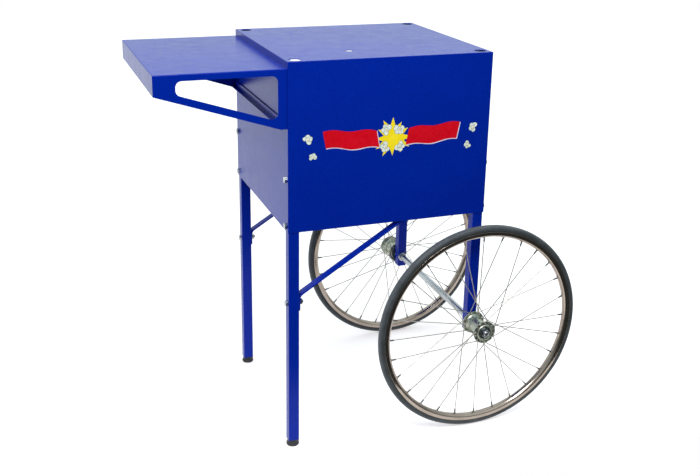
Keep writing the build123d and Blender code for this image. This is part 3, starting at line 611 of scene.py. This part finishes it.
def hex_block(flats, height, bore=0.0, both_ends=False):
    """Hexagon block on local xy: its radius is half the flats / cos of the angle from the nearest flat.

    A 30 degree cone from a circle just inside the flats lowers the corners by (radius - circle) tan 30:
    at both ends of a nut, and at the top of a screw's head, which is also slightly dished.
    """
    angle = np.arange(72) * TURN / 72
    level = 0 * angle
    half = flats / 2
    radius = half * hexagon(angle)
    circle = 0.95 * half
    drop = (radius - circle) * math.tan(math.radians(30))
    edge = 0.15 * MM
    if both_ends:
        bearing = bore + 0.98 * (circle - bore)
        corner, low, dish = circle + level, drop, 0.0
    else:
        bearing = circle
        corner, low, dish = radius - edge, edge + level, 0.35 * MM
    rows = [
        (bore + level, level),
        (bearing + level, level),
        (corner, level),
        (radius, low),
        (radius, height - drop),
        (circle + level, height + level),
        (max(bore, 0.55 * half) + level, height + level),
        (max(bore, 0.5 * half) + level, height - dish + level),
        (bore + level, height - dish + level),
    ]
    points = np.stack([np.stack([r * np.cos(angle), r * np.sin(angle), z], -1) for r, z in rows])
    return lattice(points, wrap_rows=bore > 0)


def thread(radius, pitch, start, stop):
    """Threaded end: the radius dips by a triangle wave of height / pitch - angle / turn.

    The dip fades out over half a pitch at the start, and the tip tapers by one more dip over 1.2 pitches.
    """
    depth = 0.55 * pitch
    sides = 24
    rows = max(8, int((start - stop) / pitch * 6))
    height = np.linspace(start, stop, rows)[:, None]
    angle = (np.arange(sides) * TURN / sides)[None]
    wave = np.abs(((height / pitch - angle / TURN) % 1.0) * 2 - 1)
    tip = np.clip((height - stop) / (1.2 * pitch), 0, 1)
    root = np.clip((start - height) / (0.5 * pitch), 0, 1)
    skin = radius - depth * wave * root - (1 - tip) * depth
    points = np.stack([skin * np.cos(angle), skin * np.sin(angle), height + 0 * angle], -1)
    shut_top = np.zeros((1, sides, 3)) + (0, 0, start)
    shut_tip = np.zeros((1, sides, 3)) + (0, 0, stop)
    return lattice(np.concatenate([shut_top, points, shut_tip]))


def screw(radius, pitch, flats, head, grip, reach):
    """Hexagon screw: head above local xy, plain shank through the grip, thread from there to the reach."""
    root = 0.1 * MM
    shank = turned([(0, root), (radius, root), (radius, -grip), (0, -grip)], 24, unmoved)
    return [hex_block(flats, head), shank, thread(radius, pitch, -grip, -reach)]


LEG_SIZE = 25 * MM
SHEET = 1.5 * MM
BRACE_THICK = 3 * MM
BRACE_TAB = 38 * MM
LONG_LEGS = ("front_long", "rear_long")
SHORT_LEGS = ("front_short", "rear_short")
LEG = {name: middle_and_half(f"{name}_leg")[0] for name in LONG_LEGS + SHORT_LEGS}
PANEL_BOTTOM = corners("left_side_panel")[0][2]
WALL_LEFT = corners("left_side_panel")[0][0]
WALL_RIGHT = corners("right_side_panel")[1][0]
PANEL_RISES = (13 * MM, 120 * MM)
SHELF_DROPS = (45 * MM, 100 * MM)
SHELF_EDGE = 10 * MM
BOLT_MIDDLE, BOLT_HALF = middle_and_half("brace_leg_bolts")
# Thread left over past a nut.
TAIL = 2 * BOLT_HALF[0] - M8["head"] - LEG_SIZE - BRACE_THICK - NUT_8


def fixings(name, kind, nut_height, spots, grip):
    """Screws and nuts of one joint, the flats of each turned a little differently."""
    screws, nuts = [], []
    for index, (origin, out) in enumerate(spots):
        spare = Z if abs(out[2]) < 0.5 else X
        twist = 0.4 + 1.9 * index
        side = math.cos(twist) * spare + math.sin(twist) * np.cross(out, spare)
        back = math.cos(1.3 * twist) * spare + math.sin(1.3 * twist) * np.cross(out, spare)
        screws += seated(screw(**kind, grip=grip, reach=grip + nut_height + TAIL), origin, out, side)
        nut = hex_block(kind["flats"], nut_height, kind["radius"] * THREAD_FIT, both_ends=True)
        nuts += seated([nut], np.asarray(origin) - out * grip, -out, back)
    build(f"{name}_screws", screws, ZINC, "stand", (f"{name}_bolts",), crease=28)
    build(f"{name}_hex_nuts", nuts, ZINC, "stand", (f"{name}_nuts",), crease=28)


def all_fixings():
    """The screws of the side panels, of the braces at both ends, and of the shelf."""
    panel_spots = [
        ((wall, LEG[leg][1], PANEL_BOTTOM + rise), out)
        for legs, out, wall in ((LONG_LEGS, -X, WALL_LEFT), (SHORT_LEGS, X, WALL_RIGHT))
        for leg in legs
        for rise in PANEL_RISES
    ]
    fixings("panel", M8, NUT_8, panel_spots, LEG_SIZE + SHEET)
    leg_spots = [((LEG[leg][0] - LEG_SIZE / 2, LEG[leg][1], BOLT_MIDDLE[2]), -X) for leg in LONG_LEGS]
    fixings("brace_leg", M8, NUT_8, leg_spots, LEG_SIZE + BRACE_THICK)
    brace_end = corners("front_brace")[1][0] - BRACE_TAB / 2
    floor_top = corners("cabinet_floor")[1][2]
    floor_spots = [((brace_end, LEG[leg][1], floor_top), Z) for leg in LONG_LEGS]
    fixings("brace_floor", M8, NUT_8, floor_spots, 2 * SHEET + BRACE_THICK)
    shelf_low, shelf_high = corners("shelf_tray")
    beside = (shelf_high[1] - shelf_low[1]) / 2 - SHEET - SHELF_EDGE
    shelf_spots = [
        ((WALL_LEFT + SHEET, way * beside, shelf_high[2] - drop), X)
        for way in (-1, 1)
        for drop in SHELF_DROPS
    ]
    fixings("shelf", M6, NUT_6, shelf_spots, 2 * SHEET)


all_fixings()

AXLE_PITCH = 1.75 * MM
AXLE_THREAD = 18 * MM
AXLE_ROOM = AXLE + 0.2 * MM
AXLE_NUT_FLATS = 18 * MM
AXLE_NUT = 10 * MM
SPACER = 8.5 * MM
WASHER_RADIUS = 12 * MM
WASHER = 2.2 * MM


def axle():
    """Axle rod threaded at both ends, its spacer tube, six washers and the two end nuts."""
    centre, half = middle_and_half("axle_rod")
    place = seat(centre, Y, X)
    plain = half[1] - AXLE_THREAD
    rod = [turned([(0, -plain), (AXLE, -plain), (AXLE, plain), (0, plain)], 48, place)]
    for out in (Y, -Y):
        rod += seated([thread(AXLE, AXLE_PITCH, -plain, -half[1])], centre, out, X)
    build("axle_threaded_rod", rod, ZINC, "stand", ("axle_rod",))

    long = middle_and_half("axle_sleeve")[1][1]
    outline = [(AXLE_ROOM, -long), (SPACER, -long), (SPACER, long), (AXLE_ROOM, long)]
    tube = turned(eased(outline, 0.7 * MM, 4), 48, place, closed=True)
    build("axle_spacer_tube", [tube], ZINC, "stand", ("axle_sleeve",))

    outline = [(AXLE_ROOM, 0), (WASHER_RADIUS, 0), (WASHER_RADIUS, WASHER), (AXLE_ROOM, WASHER)]
    ring = turned(eased(outline, 0.45 * MM, 4), 48, unmoved, closed=True)
    for label in ("inner", "leg", "end"):
        face = corners(f"axle_{label}_washers")[1][1] - WASHER
        starts = [centre * (1, 0, 1) + Y * way * face for way in (-1, 1)]
        rings = copies(ring, starts, (-Y, Y), (X, X))
        build(f"axle_{label}_rings", rings, ZINC, "stand", (f"axle_{label}_washers",))

    face = corners("axle_nuts")[1][1] - AXLE_NUT
    starts = [centre * (1, 0, 1) + Y * way * face for way in (-1, 1)]
    nut = hex_block(AXLE_NUT_FLATS, AXLE_NUT, AXLE * THREAD_FIT, both_ends=True)
    nuts = copies(nut, starts, (-Y, Y), (unit(X - 0.3 * Z), unit(X + 0.3 * Z)))
    build("axle_hex_nuts", nuts, ZINC, "stand", ("axle_nuts",), crease=28)


axle()

# ---------------------------------------------------------------- feet
PAD_OUTLINE = [(0, 0), (14.2, 0), (15, 1.2), (15, 5.2), (13.2, 7.2)]
PAD_OUTLINE += [(12.4, 12.6), (11.2, 14), (4.2, 14), (4.2, 9), (0, 9)]
RIBS = 24


def foot(name):
    """Moulded foot and its threaded stem: an eased outline turned about the stem, its neck ribbed.

    On the neck the radius dips by 0.35 mm times (1 - cos 24a) / 2 at angle a; the ribs fade over 1 mm.
    """
    centre = middle_and_half(f"{name}_foot_pad")[0] * (1, 1, 0)
    profile = eased(PAD_OUTLINE, 0.7, 4, closed=False) * MM
    angle = np.arange(6 * RIBS) * TURN / (6 * RIBS)
    radius, height = profile[:, :1], profile[:, 1:]
    above_base = np.clip((height - 6.4 * MM) / MM, 0, 1)
    below_top = np.clip((13.2 * MM - height) / MM, 0, 1)
    on_neck = above_base * below_top * (radius > 9 * MM)
    ribbed = radius - 0.35 * MM * on_neck * (0.5 - 0.5 * np.cos(RIBS * angle))
    points = np.stack([ribbed * np.cos(angle), ribbed * np.sin(angle), height + 0 * angle], -1)
    pad = lattice(points + centre)
    build(f"{name}_levelling_pad", [pad], BLACK, f"{name}_foot", (f"{name}_foot_pad",))
    low, high = corners(f"{name}_foot_stem")
    rod = thread(M8["radius"], M8["pitch"], -(low[2] + 0.2 * MM), -high[2])
    stem = seated([rod], centre, -Z, X)
    build(f"{name}_threaded_stem", stem, ZINC, f"{name}_foot", (f"{name}_foot_stem",))


foot("front")
foot("rear")


# ---------------------------------------------------------------- braces
def brace(name):
    """Flat bar swept along an eased path in the xz plane, its ends rounded off.

    At distance d from an end, up to the nose n, each edge draws in by n - sqrt(n^2 - (n - d)^2).
    """
    low, high = corners(f"{name}_brace")
    middle, half = middle_and_half(f"{name}_brace")
    thick = BRACE_THICK / 2
    spine = [
        (low[0] + thick, low[2]),
        (low[0] + thick, low[2] + BRACE_TAB),
        (high[0] - BRACE_TAB, high[2] - thick),
        (high[0], high[2] - thick),
    ]
    curve = eased(spine, [0, 9 * MM, 9 * MM, 0], 11, closed=False)
    lengths = np.concatenate([[0], np.cumsum(np.linalg.norm(np.diff(curve, axis=0), axis=1))])
    nose = 6 * MM
    ends = nose * (1 - np.cos(np.linspace(0, TURN / 4, 7)))
    marks = np.unique(np.concatenate([ends, lengths[1:-1], lengths[-1] - ends]))
    path = np.stack([np.interp(marks, lengths, curve[:, i]) for i in (0, 1)], 1)
    tangent = unit(np.gradient(path, marks, axis=0))
    normal = np.stack([-tangent[:, 1], tangent[:, 0]], 1)
    from_end = np.minimum(np.minimum(marks, lengths[-1] - marks), nose)
    inset = nose - np.sqrt(np.clip(nose**2 - (nose - from_end) ** 2, 0, None))
    section = eased([(-1, -1), (1, -1), (1, 1), (-1, 1)], 0.04, 4)
    rounding = (1 - np.abs(section[:, 0])) * thick
    across = np.sign(section[:, 0]) * (half[1] - rounding - inset[:, None])
    lift = section[:, 1] * thick
    x = path[:, :1] + normal[:, :1] * lift
    z = path[:, 1:] + normal[:, 1:] * lift
    bar = np.stack([x, middle[1] + across, z], -1)
    shut = [np.broadcast_to(end.mean(0), bar[:1].shape) for end in (bar[0], bar[-1])]
    surface = lattice(np.concatenate([shut[0], bar, shut[1]]))
    build(f"{name}_bent_brace", [surface], BLUE, "stand", (f"{name}_brace",))


brace("front")
brace("rear")

# ---------------------------------------------------------------- printed front
FILM_FRONT = corners("front_decal")[1][1]
FILM_MIDDLE = middle_and_half("front_decal")[0]
INK = 0.01 * MM
RIBBON_NEAR, RIBBON_FAR = 35 * MM, 160 * MM
RIBBON_HALF = 19 * MM
RIBBON_LEAN = 3.6 * MM
# Popped corn on one half of the print: mm from its middle, mm up, and size.
CORN_PLACES = ((198, 10, 1.0), (186, -30, 0.8), (15, 19, 1.15), (17, -20, 1.1))
CORN_LOBES = 5


def sheet_cut(outline, spine, start, stop):
    """Flat film in four rows: spine and outline at one height off the panel, then both at the next."""
    rows = np.stack([spine, outline, outline, spine])
    height = np.array([start, start, stop, stop])[:, None] + 0 * rows[..., 0]
    x, z = FILM_MIDDLE[0] + rows[..., 0], FILM_MIDDLE[2] + rows[..., 1]
    return lattice(np.stack([x, FILM_FRONT - height, z], -1))


def film(name, cuts, ink):
    """One colour of the print, from several cut shapes."""
    build(name, cuts, ink, "stand", ("front_decal",))


def ribbon(way, start, stop, grow=0.0, shift=(0.0, 0.0)):
    """Slanted ribbon: its middle rises with a small sine, and its half height swells by half a sine."""
    share = np.linspace(0, 1, 41)
    half = RIBBON_HALF + 1.5 * MM * np.sin(share * TURN / 2) + grow
    middle = 2.4 * MM * np.sin(share * TURN * 1.5) + 6.3 * MM * share
    x = RIBBON_NEAR - grow + (RIBBON_FAR - RIBBON_NEAR + 2 * grow) * share
    top = np.column_stack([x + RIBBON_LEAN, middle + half])
    bottom = np.column_stack([x - RIBBON_LEAN, middle - half])
    spine = np.column_stack([x, middle])
    outline = np.concatenate([bottom, top[::-1]]) * (way, 1) + shift
    spine = np.concatenate([spine, spine[::-1]]) * (way, 1) + shift
    return sheet_cut(outline, spine, start, stop)


def star(points, outer, inner, start, stop):
    """Burst: the radius swings between two circles, each stretched by a small cosine of 3a."""
    index = np.arange(2 * points)
    angle = index * math.pi / points
    reach = np.where(index % 2 == 0, outer, inner) * (1 + 0.1 * np.cos(3 * angle + 0.7))
    outline = np.column_stack([reach * np.cos(angle), reach * np.sin(angle)])
    return sheet_cut(outline, 0 * outline, start, stop)


def blob(middle, radius, phase, start, stop):
    """Popped lobe: a circle whose radius is scalloped by a small sine of 3a."""
    angle = np.arange(28) * TURN / 28
    reach = radius * (1 + 0.05 * np.sin(3 * angle + phase))
    outline = np.column_stack([reach * np.cos(angle), reach * np.sin(angle)]) + middle
    return sheet_cut(outline, 0 * outline + middle, start, stop)


def popped_corn(middle, size, twist):
    """Dark lines, pale lobes and heart of one popped corn: lobes round a last one in the middle."""
    lines, lobes = [], []
    for step in range(CORN_LOBES):
        angle = twist + step * TURN / CORN_LOBES
        far = 6.3 * MM * size if step < CORN_LOBES - 1 else 0.0
        spot = middle + far * np.array([math.cos(angle), math.sin(angle)])
        radius = (5.6 - 0.35 * step) * MM * size
        height = (8 + 2 * step) * INK
        lines.append(blob(spot, radius + 0.55 * MM, twist, INK, height))
        lobes.append(blob(spot, radius, twist, INK, height + INK))
    heart = blob(middle + np.array([0.8, -1.2]) * MM, 1.9 * MM * size, twist, INK, 19 * INK)
    return lines, lobes, [heart]


def printed_front():
    """Ribbons, burst and popped corn, in layers a few hundredths of a millimetre apart."""
    ink_red = print_ink("ink_red", (0.56, 0.0, 0.008), (0.62, 0.001, 0.012))
    ink_edge = print_ink("ink_pale_edge", (0.55, 0.50, 0.62), (0.78, 0.74, 0.82))
    ink_yellow = print_ink("ink_yellow", (0.86, 0.66, 0.01), (0.92, 0.74, 0.02))
    ink_white = print_ink("ink_white", (0.55, 0.62, 0.55), (0.86, 0.88, 0.80), 160.0)
    ink_cream = print_ink("ink_cream", (0.62, 0.42, 0.14), (0.80, 0.66, 0.34), 200.0)
    ink_line = print_ink("ink_line", (0.03, 0.06, 0.05), (0.09, 0.13, 0.10), 200.0)
    film("print_burst", [star(12, 44 * MM, 25 * MM, INK, 3 * INK)], ink_yellow)
    under = {"grow": 0.4 * MM, "shift": (1.5 * MM, -1.6 * MM)}
    film("print_ribbon_edges", [ribbon(way, INK, 5 * INK, **under) for way in (-1, 1)], ink_edge)
    film("print_ribbons", [ribbon(way, INK, 7 * INK) for way in (-1, 1)], ink_red)
    corn = [
        popped_corn(np.array([way * x, z]) * MM, size, 0.9 * number + way)
        for way in (-1, 1)
        for number, (x, z, size) in enumerate(CORN_PLACES)
    ]
    lines, lobes, hearts = (sum(cuts, []) for cuts in zip(*corn))
    film("print_corn_lines", lines, ink_line)
    film("print_corn", lobes, ink_white)
    film("print_corn_hearts", hearts, ink_cream)


printed_front()


# ---------------------------------------------------------------- studio
def studio_floor():
    """Plain pale floor: one flat grid just under the stand, with a faint glow of its own."""
    x, y = np.meshgrid(np.linspace(-6, 6, 49), np.linspace(-0.5, 8, 35), indexing="ij")
    points, quads = lattice(np.stack([x, y, np.full_like(x, -0.2 * MM)], -1), wrap_columns=False)
    mesh = bpy.data.meshes.new("studio_floor")
    mesh.from_pydata(points.tolist(), [], quads.tolist())
    glow = {"Emission_Strength": 0.40, "Emission_Color": (1.0, 0.9, 0.88, 1.0)}
    plain = Finish("studio_floor", 0.7, Specular_IOR_Level=0.2, **glow)
    stops = ((0.3, (0.82, 0.82, 0.82)), (0.7, (0.84, 0.84, 0.84)))
    plain.paint("Base Color", plain.shades(plain.noise(1.5, 2.0), *stops))
    mesh.materials.append(plain.material)
    floor = bpy.data.objects.new("studio_floor", mesh)
    bpy.context.scene.collection.objects.link(floor)


def studio_world():
    """Soft light all round: bright overhead and behind, dim low in front, plain white past the floor."""
    world = bpy.data.worlds.new("studio")
    bpy.context.scene.world = world
    world.use_nodes = True
    tree = world.node_tree
    tree.nodes.clear()
    generated = add_node(tree, "TexCoord").outputs["Generated"]
    direction = add_node(tree, "SeparateXYZ", {"Vector": generated}).outputs
    height = add_node(tree, "MapRange", {"Value": direction["Z"], "From Min": -0.1, "From Max": 0.75})
    depth = add_node(tree, "MapRange", {"Value": direction["Y"], "From Min": -0.6, "From Max": 0.45})
    links = {0: height.outputs["Result"], 1: depth.outputs["Result"]}
    both = add_node(tree, "Math", links, operation="MAXIMUM").outputs["Value"]
    glow = add_node(tree, "MapRange", {"Value": both, "To Min": 0.06, "To Max": 1.12}).outputs["Result"]
    lit = add_node(tree, "Background", {"Color": (0.90, 1.0, 1.03, 1.0), "Strength": glow})
    seen = add_node(tree, "Background", {"Color": (1.0, 1.0, 1.0, 1.0), "Strength": 1.0})
    seen_directly = add_node(tree, "LightPath").outputs["Is Camera Ray"]
    mix = add_node(tree, "MixShader", {0: seen_directly, 1: lit.outputs[0], 2: seen.outputs[0]})
    add_node(tree, "OutputWorld", {"Surface": mix.outputs[0]})


def soft_light(name, place, aim, size, power):
    """Large square softbox that the camera doesn't see."""
    light = bpy.data.lights.new(name, "AREA")
    light.shape = "SQUARE"
    light.size = size
    light.energy = power
    lamp = bpy.data.objects.new(name, light)
    lamp.location = place
    back = (np.array(place) - np.array(aim)).tolist()
    lamp.rotation_euler = Vector(back).to_track_quat("Z", "Y").to_euler()
    lamp.visible_camera = False
    bpy.context.scene.collection.objects.link(lamp)


def camera():
    """Camera in front and to the left, a little above the deck, looking down at the stand."""
    eye = bpy.data.cameras.new("camera")
    eye.sensor_width = 36.0
    eye.lens = 49.45
    eye.shift_y = -0.08
    eye.clip_start, eye.clip_end = 0.05, 60.0
    holder = bpy.data.objects.new("camera", eye)
    yaw, pitch, roll = math.radians(20.34), math.radians(17.71), math.radians(1.02)
    tilt = Matrix.Rotation(math.pi / 2 - pitch, 3, "X")
    aim = Matrix.Rotation(-yaw, 3, "Z") @ tilt @ Matrix.Rotation(roll, 3, "Z")
    holder.location = (-0.784, -2.128, 1.292)
    holder.rotation_euler = aim.to_euler()
    bpy.context.scene.collection.objects.link(holder)
    bpy.context.scene.camera = holder


studio_floor()
studio_world()
soft_light("key_softbox", place=(-0.5, -1.3, 2.0), aim=(0, 0, 0.8), size=0.9, power=30.5)
camera()
bpy.context.scene.view_settings.view_transform = "Standard"
bpy.context.scene.view_settings.look = "None"
